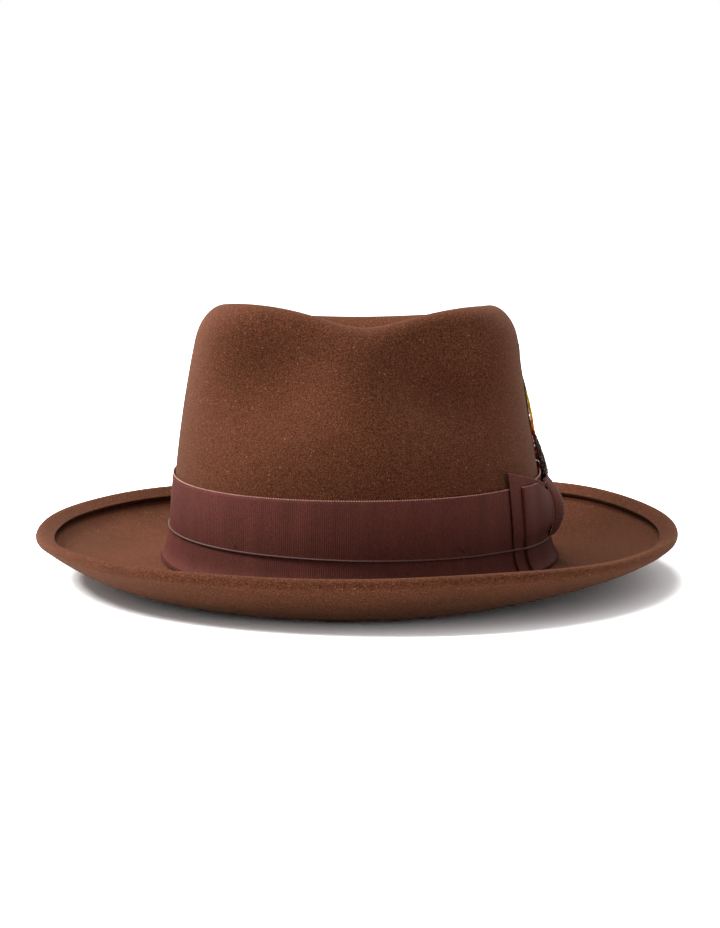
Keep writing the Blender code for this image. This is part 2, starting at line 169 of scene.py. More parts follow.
def section_controls(angles):
    """Control points of the felt's section at each angle, from the dent out to the rim."""
    crest = crest_level(angles)
    floor = CREST_HEIGHT - DENT_DEPTH
    centre = np.array((0.0, CROWN_CENTRE_Y))
    edge = oval(angles, CREST_EDGE)
    normal = oval_normal(angles)
    ridge = edge - normal * SHOULDER
    rows = [raised(np.broadcast_to(centre, ridge.shape), floor)]
    for share, drop in ((0.3, 1.0), (0.55, 0.84), (0.80, 0.38)):
        rows.append(raised(centre + share * (ridge - centre), crest - drop * (crest - floor)))
    rows.append(raised(ridge, crest + CREST_RISE))
    rows.append(raised(edge, crest - CREST_DROP))
    for share in (0.84, 0.68, 0.52, 0.36, 0.20, 0.08):
        rows.append(raised(oval(angles, crest * share), crest * share))
    base = oval(angles, 0.0)
    rows.append(raised(base, break_level(angles)))
    width = BRIM_SIDE + (BRIM_FRONT - BRIM_SIDE) * np.sin(angles) ** 2
    for share in (0.15, 0.35, 0.55, 0.75, 0.90, 1.0):
        rows.append(raised(base + normal * (width * share)[:, None], brim_level(angles, share)))
    return np.stack(rows)


def spline(controls, places):
    """Uniform cubic B-spline down the rows of controls, ending on the first and last."""
    padded = np.concatenate([controls[:1]] * 2 + [controls] + [controls[-1:]] * 2)
    spans = len(padded) - 3
    found = []
    for place in places:
        at = min(place * spans, spans - 1e-9)
        first = int(at)
        t = at - first
        weights = (
            (1.0 - t) ** 3,
            3.0 * t**3 - 6.0 * t**2 + 4.0,
            -3.0 * t**3 + 3.0 * t**2 + 3.0 * t + 1.0,
            t**3,
        )
        found.append(sum(w * padded[first + k] for k, w in enumerate(weights)) / 6.0)
    return np.stack(found)


def pinch(points):
    """Pushes the two front pinches into the crown."""
    moved = points.copy()
    for side in (-1.0, 1.0):
        place = np.array((side * PINCH_PLACE[0], PINCH_PLACE[1], PINCH_PLACE[2]))
        away = (points - place) / np.array(PINCH_SPREAD)
        depth = PINCH_DEPTH * np.exp(-0.5 * np.sum(away**2, axis=-1))
        moved[..., 0] -= side * 0.35 * depth
        moved[..., 1] += 0.93 * depth
    return moved


def surface_normals(grid, closed=True):
    """Unit normals of a grid of points."""
    if closed:
        around = np.roll(grid, -1, axis=1) - np.roll(grid, 1, axis=1)
    else:
        around = np.gradient(grid, axis=1)
    along = np.gradient(grid, axis=0)
    normals = np.cross(along, around)
    length = np.linalg.norm(normals, axis=-1, keepdims=True)
    return normals / np.maximum(length, 1e-15)


def felt_grid(places, count):
    """Middle of the felt as rows from the dent to the rim, with count columns round the crown."""
    angles = TURN * np.arange(count) / count
    return pinch(spline(section_controls(angles), places))


def on_crown(angle, height, lift):
    """Points that stand off the felt's outer face by lift, at a height above the opening."""
    angle, height, lift = np.broadcast_arrays(angle, height, lift)
    flare = 1.5 * MM * np.maximum(0.0, (9.0 * MM - height) / (7.75 * MM)) ** 3
    plan = oval(angle, height) + oval_normal(angle) * (FELT / 2.0 + flare + lift)[..., None]
    return raised(plan, height)


def inside_crown(angle, height, depth):
    """Points that stand off the felt's inner face by depth, towards the head."""
    angle, height, depth = np.broadcast_arrays(angle, height, depth)
    plan = oval(angle, height) - oval_normal(angle) * (FELT / 2.0 + depth)[..., None]
    return raised(plan, height)


# ---------------------------------------------------------------- meshes


def grid_faces(rows, columns, closed, base=0, flip=False):
    """Quads over a grid of points that starts at index base."""
    row = np.arange(rows - 1)[:, None]
    column = np.arange(columns if closed else columns - 1)[None, :]
    right = (column + 1) % columns
    low, high = base + row * columns, base + (row + 1) * columns
    quads = np.stack((low + column, high + column, high + right, low + right), axis=-1)
    quads = quads.reshape(-1, 4)
    return quads[:, ::-1] if flip else quads


def make_object(name, points, faces, material, body="hat"):
    mesh = bpy.data.meshes.new(name)
    mesh.from_pydata([tuple(p) for p in points], [], [tuple(int(i) for i in f) for f in faces])
    mesh.materials.append(material)
    mesh.shade_smooth()
    mesh.update()
    obj = bpy.data.objects.new(name, mesh)
    bpy.context.scene.collection.objects.link(obj)
    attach(obj, body)
    return obj


def shell(name, outer, inner, material, closed=False, body="hat", capped=False):
    """A closed skin of cloth between two grids of points, with edges where the grids end."""
    rows, columns = outer.shape[:2]
    base = rows * columns
    faces = [grid_faces(rows, columns, closed), grid_faces(rows, columns, closed, base, True)]
    points = [outer.reshape(-1, 3), inner.reshape(-1, 3)]
    around = np.arange(columns)
    right = (around + 1) % columns
    if not closed:
        around, right = around[:-1], right[:-1]
    edges = []
    if not capped:
        edges.append(np.stack((around, right, base + right, base + around), axis=-1))
    last = (rows - 1) * columns
    edges.append(np.stack((last + right, last + around, base + last + around, base + last + right), axis=-1))
    if not closed:
        down = np.arange(rows - 1) * columns
        next_down = down + columns
        edges.append(np.stack((next_down, down, base + down, base + next_down), axis=-1))
        end = columns - 1
        edges.append(
            np.stack((down + end, next_down + end, base + next_down + end, base + down + end), axis=-1)
        )
    faces = [tuple(face) for face in np.concatenate(faces + edges)]
    if capped:
        tops = [outer[0].mean(axis=0), inner[0].mean(axis=0)]
        points.append(np.array(tops))
        top = 2 * base
        for column in range(columns):
            following = (column + 1) % columns
            faces.append((top, column, following))
            faces.append((top + 1, base + following, base + column))
    return make_object(name, np.concatenate(points), faces, material, body)


def sheet_grid(point, rows, columns, closed=False):
    """A grid of points from point(u, v), where u and v are arrays from 0 to 1, v falling down the rows."""
    u = np.arange(columns) / (columns if closed else columns - 1)
    v = 1.0 - np.arange(rows) / (rows - 1)
    return point(*np.meshgrid(u, v))


def tube_mesh(path, radii, sides, closed):
    """Points and faces of a tube along a path of points, with a radius at each, and its ends closed."""
    path = np.asarray(path, float)
    radii = np.broadcast_to(radii, len(path))
    if closed:
        ahead = np.roll(path, -1, axis=0) - np.roll(path, 1, axis=0)
    else:
        ahead = np.gradient(path, axis=0)
    ahead /= np.linalg.norm(ahead, axis=1, keepdims=True)
    helper = np.array((0.0, 0.0, 1.0)) if abs(ahead[:, 2]).max() < 0.9 else np.array((1.0, 0.3, 0.0))
    side = np.cross(ahead, helper)
    side /= np.linalg.norm(side, axis=1, keepdims=True)
    up = np.cross(side, ahead)
    turns = TURN * np.arange(sides) / sides
    rings = (
        path[:, None]
        + radii[:, None, None] * np.cos(turns)[None, :, None] * side[:, None]
        + radii[:, None, None] * np.sin(turns)[None, :, None] * up[:, None]
    )
    count = len(path)
    faces = []
    for ring in range(count if closed else count - 1):
        following = (ring + 1) % count
        for k in range(sides):
            m = (k + 1) % sides
            faces.append((ring * sides + k, ring * sides + m, following * sides + m, following * sides + k))
    if not closed:
        faces.append(tuple(range(sides))[::-1])
        faces.append(tuple(range((count - 1) * sides, count * sides)))
    return rings.reshape(-1, 3), faces


def join_meshes(parts):
    """Several (points, faces) as one."""
    points, faces, base = [], [], 0
    for part_points, part_faces in parts:
        points.append(part_points)
        faces += [tuple(i + base for i in face) for face in part_faces]
        base += len(part_points)
    return np.concatenate(points), faces


# ---------------------------------------------------------------- materials


class Look:
    """A node material, built up from its shader."""

    def __init__(self, name, roughness, specular=0.5, sheen=0.0, sheen_tint=(1, 1, 1), coat=0.0):
        self.material = bpy.data.materials.new(name)
        self.material.use_nodes = True
        self.tree = self.material.node_tree
        self.shader = self.tree.nodes["Principled BSDF"]
        self.shader.inputs["Roughness"].default_value = roughness
        self.shader.inputs["Specular IOR Level"].default_value = specular
        self.shader.inputs["Sheen Weight"].default_value = sheen
        self.shader.inputs["Sheen Roughness"].default_value = 0.45
        self.shader.inputs["Sheen Tint"].default_value = (*sheen_tint, 1.0)
        self.shader.inputs["Coat Weight"].default_value = coat
        self.place = self.node("ShaderNodeTexCoord").outputs["Object"]
        self.height = None

    def node(self, kind, **settings):
        made = self.tree.nodes.new(kind)
        for key, value in settings.items():
            setattr(made, key, value)
        return made

    def link(self, source, target):
        self.tree.links.new(source, target)

    def stretched(self, scale):
        made = self.node("ShaderNodeMapping")
        made.inputs["Scale"].default_value = scale
        self.link(self.place, made.inputs["Vector"])
        return made.outputs["Vector"]

    def noise(self, scale, detail=2.0, roughness=0.5, vector=None, distortion=0.0):
        """Noise of about 1/scale metres."""
        made = self.node("ShaderNodeTexNoise")
        made.inputs["Scale"].default_value = scale
        made.inputs["Detail"].default_value = detail
        made.inputs["Roughness"].default_value = roughness
        made.inputs["Distortion"].default_value = distortion
        self.link(self.place if vector is None else vector, made.inputs["Vector"])
        return made.outputs["Fac"]

    def ramp(self, value, *stops):
        """A colour ramp. A stop is (place, colour), and a colour may be one number."""
        made = self.node("ShaderNodeValToRGB")
        self.link(value, made.inputs["Fac"])
        ramp = made.color_ramp
        while len(ramp.elements) < len(stops):
            ramp.elements.new(0.5)
        for element, (place, colour) in zip(ramp.elements, stops):
            element.position = place
            colour = colour if hasattr(colour, "__len__") else (colour,) * 3
            element.color = (*colour, 1.0)
        return made.outputs["Color"]

    def mix(self, a, b, share, kind="MIX"):
        """Mixes two colours. a and b are sockets or colours, and share is a socket or a number."""
        made = self.node("ShaderNodeMix", data_type="RGBA", blend_type=kind)
        for value, socket in ((share, made.inputs["Factor"]), (a, made.inputs[6]), (b, made.inputs[7])):
            if isinstance(value, bpy.types.NodeSocket):
                self.link(value, socket)
            elif hasattr(value, "__len__"):
                socket.default_value = (*value, 1.0)
            else:
                socket.default_value = value
        return made.outputs[2]

    def maths(self, kind, a, b=0.0):
        made = self.node("ShaderNodeMath", operation=kind)
        for value, socket in ((a, made.inputs[0]), (b, made.inputs[1])):
            if isinstance(value, bpy.types.NodeSocket):
                self.link(value, socket)
            else:
                socket.default_value = value
        return made.outputs[0]

    def bump(self, height, distance, strength=1.0):
        """Adds a relief of height, whose full range is distance in metres."""
        made = self.node("ShaderNodeBump")
        made.inputs["Strength"].default_value = strength
        made.inputs["Distance"].default_value = distance
        self.link(height, made.inputs["Height"])
        if self.height is not None:
            self.link(self.height, made.inputs["Normal"])
        self.height = made.outputs["Normal"]
        self.link(self.height, self.shader.inputs["Normal"])

    def colour(self, socket):
        self.link(socket, self.shader.inputs["Base Color"])

    def roughness(self, socket):
        self.link(socket, self.shader.inputs["Roughness"])


def felt_look():
    """Brushed wool felt: short fibres of several browns, with a pale nap that catches light at the edges."""
    look = Look("felt_wool", 0.95, specular=0.04, sheen=0.07, sheen_tint=(0.90, 0.48, 0.30))
    fibre = look.noise(2200.0, 2.0, 0.7, distortion=0.8)
    nap = look.noise(820.0, 3.0, 0.7, distortion=0.5)
    fleck = look.noise(900.0, 1.0, 0.5)
    cloud = look.noise(22.0, 2.0, 0.5)
    tone = look.ramp(fibre, (0.36, (0.014, 0.0044, 0.0020)), (0.50, (0.041, 0.0128, 0.0056)),
                     (0.64, (0.088, 0.0285, 0.0128)))
    tone = look.mix(tone, look.ramp(nap, (0.36, 0.82), (0.64, 1.16)), 1.0, "MULTIPLY")
    tone = look.mix(tone, look.ramp(cloud, (0.3, 0.93), (0.7, 1.07)), 1.0, "MULTIPLY")
    pale = look.ramp(fleck, (0.74, 0.0), (0.79, 1.0))
    look.colour(look.mix(tone, (0.30, 0.13, 0.075), look.maths("MULTIPLY", pale, 0.5)))
    look.bump(nap, 0.40 * MM, 0.6)
    look.bump(fibre, 0.22 * MM, 0.8)
    return look.material


def grosgrain_look(name, dark, light):
    """Matt ribbed ribbon, with threads along the ribs."""
    look = Look(name, 0.74, specular=0.05)
    thread = look.noise(1500.0, 2.0, 0.6)
    streak = look.noise(160.0, 2.0, 0.5, vector=look.stretched((1.0, 1.0, 0.15)))
    patch = look.noise(26.0, 2.0, 0.5)
    tone = look.ramp(thread, (0.25, dark), (0.75, light))
    tone = look.mix(tone, look.ramp(streak, (0.3, 0.86), (0.7, 1.10)), 1.0, "MULTIPLY")
    tone = look.mix(tone, look.ramp(patch, (0.3, 0.90), (0.7, 1.08)), 1.0, "MULTIPLY")
    look.colour(tone)
    look.roughness(look.ramp(streak, (0.2, 0.60), (0.8, 0.76)))
    look.bump(thread, 0.06 * MM, 0.6)
    return look.material


def plain_thread_look(name, dark, light):
    look = Look(name, 0.6, specular=0.2, sheen=0.05, sheen_tint=light)
    fibre = look.noise(2600.0, 2.0, 0.6)
    look.colour(look.ramp(fibre, (0.3, dark), (0.7, light)))
    look.bump(fibre, 0.04 * MM, 0.6)
    return look.material


def leather_look():
    look = Look("leather_tan", 0.5, specular=0.45, coat=0.08)
    grain = look.node("ShaderNodeTexVoronoi", feature="DISTANCE_TO_EDGE")
    grain.inputs["Scale"].default_value = 900.0
    look.link(look.place, grain.inputs["Vector"])
    wear = look.noise(60.0, 4.0, 0.6)
    tone = look.ramp(wear, (0.3, (0.115, 0.045, 0.020)), (0.7, (0.170, 0.072, 0.034)))
    cell = look.ramp(grain.outputs["Distance"], (0.0, 0.72), (0.12, 1.0))
    look.colour(look.mix(tone, cell, 0.7, "MULTIPLY"))
    look.roughness(look.ramp(wear, (0.2, 0.38), (0.8, 0.58)))
    look.bump(look.ramp(grain.outputs["Distance"], (0.0, 0.0), (0.15, 1.0)), 0.08 * MM, 0.7)
    return look.material


def satin_look():
    look = Look("satin_lining", 0.32, specular=0.5, sheen=0.15, sheen_tint=(0.9, 0.7, 0.5))
    weave = look.noise(1400.0, 1.0, 0.5, vector=look.stretched((1.0, 1.0, 0.2)))
    wave = look.noise(40.0, 2.0, 0.5)
    tone = look.ramp(weave, (0.3, (0.130, 0.070, 0.038)), (0.7, (0.185, 0.105, 0.060)))
    look.colour(look.mix(tone, look.ramp(wave, (0.3, 0.88), (0.7, 1.1)), 1.0, "MULTIPLY"))
    look.bump(weave, 0.03 * MM, 0.5)
    look.bump(wave, 0.5 * MM, 0.3)
    return look.material


def film_look():
    look = Look("clear_film", 0.08, specular=0.5)
    haze = look.noise(45.0, 2.0, 0.5)
    look.colour(look.ramp(haze, (0.3, 0.86), (0.7, 0.95)))
    look.shader.inputs["Alpha"].default_value = 0.22
    look.bump(haze, 0.3 * MM, 0.3)
    return look.material


def ticket_look():
    look = Look("ticket_weave", 0.8, specular=0.2)
    weave = look.noise(1200.0, 1.0, 0.5, vector=look.stretched((1.0, 1.0, 0.3)))
    look.colour(look.ramp(weave, (0.3, (0.62, 0.59, 0.52)), (0.7, (0.82, 0.79, 0.72))))
    look.bump(weave, 0.05 * MM, 0.5)
    return look.material


# ---------------------------------------------------------------- felt


def rim_waver(grid):
    """A slow waver that grows towards the rim, and a brim turned up a little more on the bow's side."""
    angles = np.arctan2(grid[..., 1], grid[..., 0])
    reach = np.linalg.norm(grid[..., :2] / np.array((OVAL_WIDTH, OVAL_LENGTH)), axis=-1)
    share = smooth((reach - RIM_REACH[0]) / RIM_REACH[1])
    wave = sum(height * np.sin(count * angles + start) for height, count, start in RIM_WAVES)
    quarter = np.sin(2.0 * angles) ** 2 * (np.cos(angles) > 0.0)
    rear_rise = REAR_RISE * quarter * (np.sin(angles) > 0.0)
    out = np.clip((reach - 1.0) / 0.68, 0.0, 1.0)
    front_rise = FRONT_RISE * quarter * (np.sin(angles) < 0.0) * 4.0 * out * (1.0 - out)
    moved = grid.copy()
    moved[..., 2] += (share * (wave + rear_rise) + front_rise) * MM
    return moved


def make_felt(material):
    """Crown and brim, with the rim rolled over and laid down on the brim as a welt."""
    stretches = (
        (0.02, 0.30, 60), (0.30, 0.46, 44), (0.46, 0.62, 34), (0.62, 0.79, 44), (0.79, WELT_FROM, 26),
    )
    places = np.concatenate([np.linspace(a, b, n, endpoint=False) for a, b, n in stretches])
    rim_places = 1.0 - (1.0 - WELT_FROM) * (1.0 - np.linspace(0.0, 1.0, 20)) ** 1.25
    grid = rim_waver(felt_grid(np.concatenate([places, rim_places]), COLUMNS))
    normals = surface_normals(grid)
    rim, up = grid[-1], normals[-1]
    out = rim - grid[-3]
    out /= np.linalg.norm(out, axis=-1, keepdims=True)
    up = up - out * np.sum(up * out, axis=-1, keepdims=True)
    up /= np.linalg.norm(up, axis=-1, keepdims=True)
    top = list(grid + normals * FELT / 2.0)
    under = list(grid - normals * FELT / 2.0)
    radius = (FELT + WELT_GAP) / 2.0
    for turn in np.radians(np.linspace(15.0, 165.0, 11)):
        middle = rim + radius * (out * math.sin(turn) + up * (1.0 - math.cos(turn)))
        facing = up * math.cos(turn) - out * math.sin(turn)
        top.append(middle + facing * FELT / 2.0)
        under.append(middle - facing * FELT / 2.0)
    for row in range(1, len(rim_places) + 1):
        middle = grid[-row] + 2.0 * radius * normals[-row]
        top.append(middle - normals[-row] * FELT / 2.0)
        under.append(middle + normals[-row] * FELT / 2.0)
    body = shell("hat_felt", np.array(top), np.array(under), material, closed=True, capped=True)
    bevel = body.modifiers.new("Cut edge", "BEVEL")
    bevel.width = 0.35 * MM
    bevel.segments = 2
    bevel.limit_method = "ANGLE"
    bevel.angle_limit = math.radians(60.0)
    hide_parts("felt_body")


# ---------------------------------------------------------------- band and cord


def cord_height(angle):
    side = CORD_SIDE * np.maximum(0.0, -np.cos(angle)) + CORD_BOW * np.maximum(0.0, np.cos(angle))
    return side + CORD_FRONT * (1.0 - np.abs(np.cos(angle)))


def ribbon_lift(angle, height):
    """The band lies on the felt, and flares below the cord that pulls it in."""
    below = np.maximum(0.0, cord_height(angle) - CORD_BITE - height)
    return BAND_REST + RIBBON_FLARE * below


def band_height(angle, share):
    low = RIBBON_BOTTOM + break_level(angle)
    high = RIBBON_TOP + 0.5 * break_level(angle)
    return low + (high - low) * share


def make_ribbon(material, painted_highlight_edge_material):
    girth = TURN * 95.0 * MM
    ribs = int(girth / RIB_PITCH)
    per_rib = 5

    def face(u, v, extra, ribbed):
        angle = TURN * u
        height = band_height(angle, v)
        edge = np.minimum(v, 1.0 - v)
        wave = 0.5 + 0.5 * np.cos(TURN * ribs * u)
        relief = RIB_RELIEF * ribbed * wave * smooth(edge / 0.02)
        slack = 0.12 * MM * np.sin(4.0 * angle + 1.0) * (1.0 - v)
        return on_crown(angle, height, ribbon_lift(angle, height) + extra + relief + slack)

    outer = sheet_grid(lambda u, v: face(u, v, RIBBON, 1.0), 34, ribs * per_rib, closed=True)
    inner = sheet_grid(lambda u, v: face(u, v, 0.0, 0.0), 34, ribs * per_rib, closed=True)
    band = shell("band_ribbon", outer, inner, material, closed=True)
    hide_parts("ribbon_band")
    # The top edge's thread is coloured lighter than the ribbon, a painted highlight where light falls on the
    # edge; the bottom edge keeps the ribbon's own colour.
    for name, share, yarn in (("band_edge_top", 1.0, painted_highlight_edge_material), ("band_edge_bottom", 0.0, material)):
        count = EDGE_TURNS
        steps = count * 6
        u = np.arange(steps) / steps
        path = face(u, np.full(steps, share), RIBBON * 0.9, 0.0)
        radius = (0.17 + 0.14 * np.cos(TURN * count * u)) * MM
        points, faces = tube_mesh(path, radius, 6, closed=True)
        edge = make_object(name, points, faces, yarn)


def over_ribbon(angle, height, lift):
    return on_crown(angle, height, ribbon_lift(angle, height) + RIBBON + RIB_RELIEF + lift)


# ---------------------------------------------------------------- cloth layers of the bow

BOW_FRONT = -0.685
BOW_REAR = 0.44
BOW_KNOT = -0.125
BOW_LEAN = 1.0
BOW_MIDDLE = 20.0 * MM
LAYER = 0.45 * MM
KNOT_LIFT = 7.9 * MM
LOOP_LIFT = 6.3 * MM
LOOP_UNDER = 1.45 * MM
LOOP_PRESSED = LOOP_UNDER + 0.9 * MM
LOOP_FREE = 2.8 * MM
BOW_PRESSED = 0.35 * MM
STRAP_ROLL = 3.6 * MM
STRAP_WIDTH = 0.235
STRAP_WAIST = 0.030
KNOT_BOTTOM = 13.6 * MM
KNOT_HEIGHT = 23.5 * MM
EDGE_RADIUS = 0.15 * MM


def path_length(points):
    return np.linalg.norm(np.diff(points, axis=0), axis=-1).sum(axis=0)


def flat_size(grid):
    """Width and length that a sheet was cut to, from its own mean lengths down and along."""
    return float(path_length(grid).mean()), float(path_length(grid.swapaxes(0, 1)).mean())


def cloth(name, grid, material, rib_phase):
    """A layer of ribbon about a middle surface. rib_phase counts the ribs over the grid."""
    normals = surface_normals(grid, closed=False)
    relief = 0.5 * RIB_RELIEF * (1.0 + np.cos(TURN * rib_phase))[..., None]
    outer = grid + normals * (LAYER / 2.0 + relief)
    inner = grid - normals * LAYER / 2.0
    return shell(name, outer, inner, material)


def edge_line(name, path, material):
    """The woven edge of a ribbon: a thread that thickens at each turn of the weft, coloured lighter than the
    ribbon as a painted highlight.
    """
    pitch = 1.6 * MM
    steps = max(8, int(5.0 * path_length(path) / pitch))
    along = np.linspace(0.0, len(path) - 1.0, steps)
    fine = np.stack([np.interp(along, np.arange(len(path)), path[:, axis]) for axis in range(3)], axis=1)
    travelled = np.linspace(0.0, path_length(path), steps)
    radius = EDGE_RADIUS * (1.0 + 0.35 * np.cos(TURN * travelled / pitch))
    edge = make_object(name, *tube_mesh(fine, radius, 6, closed=False), material)


def squeeze(height):
    """0 where the cord presses the bow flat, 1 where the bow stands free above it."""
    return smooth((height - 12.5 * MM) / (5.5 * MM))


def knot_belly(height):
    share = 0.18 + 0.80 * (height - KNOT_BOTTOM) / KNOT_HEIGHT
    return np.sin(math.pi * np.clip(share, 0.03, 0.97)) ** 0.8


def leaning(angle, height, free):
    """Tips a layer's free end forward as it rises."""
    return angle - BOW_LEAN * free * (height - BOW_MIDDLE)


def flat_layer(span, top, bottom, full):
    """Middle surface of a layer that lies along the band."""

    def point(u, v):
        height = bottom(u) + (top(u) - bottom(u)) * v
        angle = leaning(span[0] + (span[1] - span[0]) * u, height, 1.0 - u)
        lift = BOW_PRESSED + (full(u) - BOW_PRESSED) * squeeze(height)
        return over_ribbon(angle, height, lift + LAYER / 2.0)

    return sheet_grid(point, 40, 200)


def rib_count(grid):
    """Rib phase along a grid's columns, so that ribs run down it at the ribbon's own pitch."""
    steps = np.linalg.norm(np.diff(grid[len(grid) // 2], axis=0), axis=-1)
    travelled = np.concatenate([[0.0], np.cumsum(steps)]) / RIB_PITCH
    return np.broadcast_to(travelled, grid.shape[:2])


def folded_loop(knot_angle, free_angle, bottom):
    """Middle surface of a loop: out from the knot, round a soft fold at the free end and back beneath."""
    share_out = np.linspace(0.0, 1.0, 110)
    turns = np.linspace(0.0, math.pi, 12)[1:-1]
    heights = np.linspace(1.0, 0.0, 40)
    side = math.copysign(1.0, free_angle - knot_angle)
    rows = []
    for v in heights:
        gathered = smooth((share_out - 0.10) / 0.70)
        top = (30.0 + 8.2 * gathered) * MM
        height = bottom + (top - bottom) * v
        gap = 0.66 + 0.34 * smooth((share_out - 0.17) / 0.16)
        belly = LOOP_LIFT * knot_belly(height) * gap
        crease = 0.35 * MM * np.sin(TURN * 1.5 * share_out) * (1.0 - share_out) * v
        puffed = belly + (LOOP_FREE - belly) * smooth(share_out / 0.85) + crease
        lift = LOOP_PRESSED + np.maximum(puffed - LOOP_PRESSED, 0.0) * squeeze(height)
        angle = knot_angle + (free_angle - knot_angle) * share_out
        angle = leaning(angle, height, share_out if side < 0.0 else 0.0)
        out = over_ribbon(angle, height, lift)
        radius = (lift[-1] - LOOP_UNDER) / 2.0
        fold_angle = angle[-1] + side * radius * np.sin(turns) / OVAL_LENGTH
        fold = over_ribbon(fold_angle, height[-1], LOOP_UNDER + radius * (1.0 + np.cos(turns)))
        back = over_ribbon(angle[::-1], height[::-1], np.full(len(angle), LOOP_UNDER))
        rows.append(np.concatenate([out, fold, back]))
    grid = np.array(rows)
    return grid if side > 0.0 else grid[:, ::-1]


def make_bow(material, painted_highlight_edge_material):
    """A folded end, two loops and the band's other end, wrapped by a ribbed strap."""
    tab = flat_layer(
        (BOW_FRONT, -0.26),
        top=lambda u: (45.3 - 9.5 * u) * MM,
        bottom=lambda u: (0.7 + 0.4 * u) * MM,
        full=lambda u: (0.5 + 1.6 * u) * MM,
    )
    tail = flat_layer(
        (-0.005, BOW_REAR),
        top=lambda u: (35.5 - 1.5 * u) * MM,
        bottom=lambda u: (0.8 + 0.2 * u) * MM,
        full=lambda u: (2.8 - 2.3 * smooth((u - 0.36) / 0.5)) * MM,
    )
    front = folded_loop(-0.06, BOW_FRONT + 0.098, 0.5 * MM)
    rear = folded_loop(-0.05, BOW_REAR - 0.06, 0.6 * MM)
    for name, grid, node in (
        ("bow_tab", tab, "bow_tab_front"),
        ("bow_end", tail, "bow_tail"),
        ("bow_loop_f", front, "bow_loop_front"),
        ("bow_loop_r", rear, "bow_loop_rear"),
    ):
        layer = cloth(name, grid, material, rib_count(grid))
        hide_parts(node)
        flat_size(grid)
        # The lighter thread along each layer's top edge is a painted highlight.
        edge_line(name + "_edge", grid[0], painted_highlight_edge_material)
    make_strap(material, painted_highlight_edge_material)


def make_strap(material, painted_highlight_edge_material):
    """The strap round the middle of the bow, its ribs lying across it."""

    def point(u, v):
        height = KNOT_BOTTOM - 1.6 * MM + (KNOT_HEIGHT + 1.8 * MM) * v
        waist = STRAP_WIDTH - STRAP_WAIST * np.sin(math.pi * v)
        angle = BOW_KNOT + (u - 0.5) * waist
        roll = STRAP_ROLL * (1.0 - np.sin(math.pi * u) ** 0.7) * knot_belly(height)
        return over_ribbon(angle, height, 1.3 * MM + KNOT_LIFT * knot_belly(height) - roll)

    rows = 200
    grid = sheet_grid(point, rows, 28)
    phase = (np.arange(rows) / (rows - 1.0) * float(path_length(grid).mean()) / RIB_PITCH)[:, None]
    strap = cloth("bow_strap", grid, material, np.broadcast_to(phase, grid.shape[:2]))
    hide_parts("bow_knot")
    flat_size(grid.swapaxes(0, 1))
    # The strap's edges get the same lighter thread, a painted highlight.
    edge_line("bow_strap_edge_front", grid[:, 0], painted_highlight_edge_material)
    edge_line("bow_strap_edge_rear", grid[:, -1], painted_highlight_edge_material)


# ---------------------------------------------------------------- cord and stitches


TAB_UNDER_CORD = 0.9 * MM
LOOPS_UNDER_CORD = 1.98 * MM
STRAND_RADIUS = 0.25 * MM
STRAND_OFFSET = 0.20 * MM


def cord_cover(angle):
    """How far the bow holds the cord off the band."""
    turn = np.remainder(angle + math.pi, TURN) - math.pi
    tab = smooth((turn - BOW_FRONT + 0.10) / 0.10) * TAB_UNDER_CORD
    loops = smooth((turn - BOW_FRONT - 0.01) / 0.08) * LOOPS_UNDER_CORD
    rear = 1.0 - smooth((turn - BOW_REAR) / 0.16)
    return (tab + loops) * rear


def make_cord(material):
    """Three strands twisted together, lying in the band and over the bow."""
    strands, twists, per_twist = 3, 270, 9
    steps = twists * per_twist
    angle = TURN * np.arange(steps) / steps
    middle = over_ribbon(angle, cord_height(angle), cord_cover(angle) + 0.38 * MM)
    out = raised(oval_normal(angle), 0.0)
    up = np.array((0.0, 0.0, 1.0))
    parts = []
    for strand in range(strands):
        phase = (TURN * (np.arange(steps) / per_twist + strand / strands))[:, None]
        path = middle + STRAND_OFFSET * (np.cos(phase) * out + np.sin(phase) * up)
        parts.append(tube_mesh(path, STRAND_RADIUS, 6, closed=True))
    cord = make_object("cord_twisted", *join_meshes(parts), material)
    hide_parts("wind_cord")
    turns = TURN * np.arange(90) / 90
    lobes = np.stack(
        ((2.0 + np.cos(3.0 * turns)) * np.cos(2.0 * turns), np.sin(3.0 * turns),
         (2.0 + np.cos(3.0 * turns)) * np.sin(2.0 * turns)), axis=1,
    )
    home = over_ribbon(BACK, cord_height(BACK) + 1.9 * MM, 0.95 * MM)
    knot = make_object("cord_knot", *tube_mesh(home + 0.52 * MM * lobes, 0.42 * MM, 8, closed=True), material)
    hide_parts("wind_cord_knot")


def dress(node, material):
    """Gives a CAD node, whose shape is right, its fine material."""
    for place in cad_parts[node].material_slots:
        place.material = material


def make_tacks(material):
    for side in ("front_left", "front_right", "rear_left", "rear_right"):
        dress("tack_" + side, material)


# ---------------------------------------------------------------- feathers

SPRAY_ANGLE = 0.085
FEATHER_FOOT = 31.4 * MM


def feather_look(name, stops, fleck=None):
    """Barbs coloured by their height up the feather, with optional pale flecks."""
    look = Look(name, 0.6, specular=0.15, sheen=0.03)
    rise = look.node("ShaderNodeSeparateXYZ")
    look.link(look.place, rise.inputs[0])
    low, high = stops[0][0], stops[-1][0]
    share = look.maths("DIVIDE", look.maths("SUBTRACT", rise.outputs["Z"], low * MM), (high - low) * MM)
    wander = look.maths("MULTIPLY", look.maths("SUBTRACT", look.noise(420.0, 3.0), 0.5), 0.34)
    places = [((height - low) / (high - low), colour) for height, colour in stops]
    tone = look.ramp(look.maths("ADD", share, wander), *places)
    barb = look.noise(1800.0, 1.0, 0.5)
    tone = look.mix(tone, look.ramp(barb, (0.35, 0.55), (0.65, 1.2)), 1.0, "MULTIPLY")
    if fleck is not None:
        spots = look.ramp(look.noise(900.0, 1.0, 0.5), (0.58, 0.0), (0.63, 1.0))
        tone = look.mix(tone, fleck, spots)
    look.colour(tone)
    look.bump(barb, 0.05 * MM, 0.6)
    return look.material


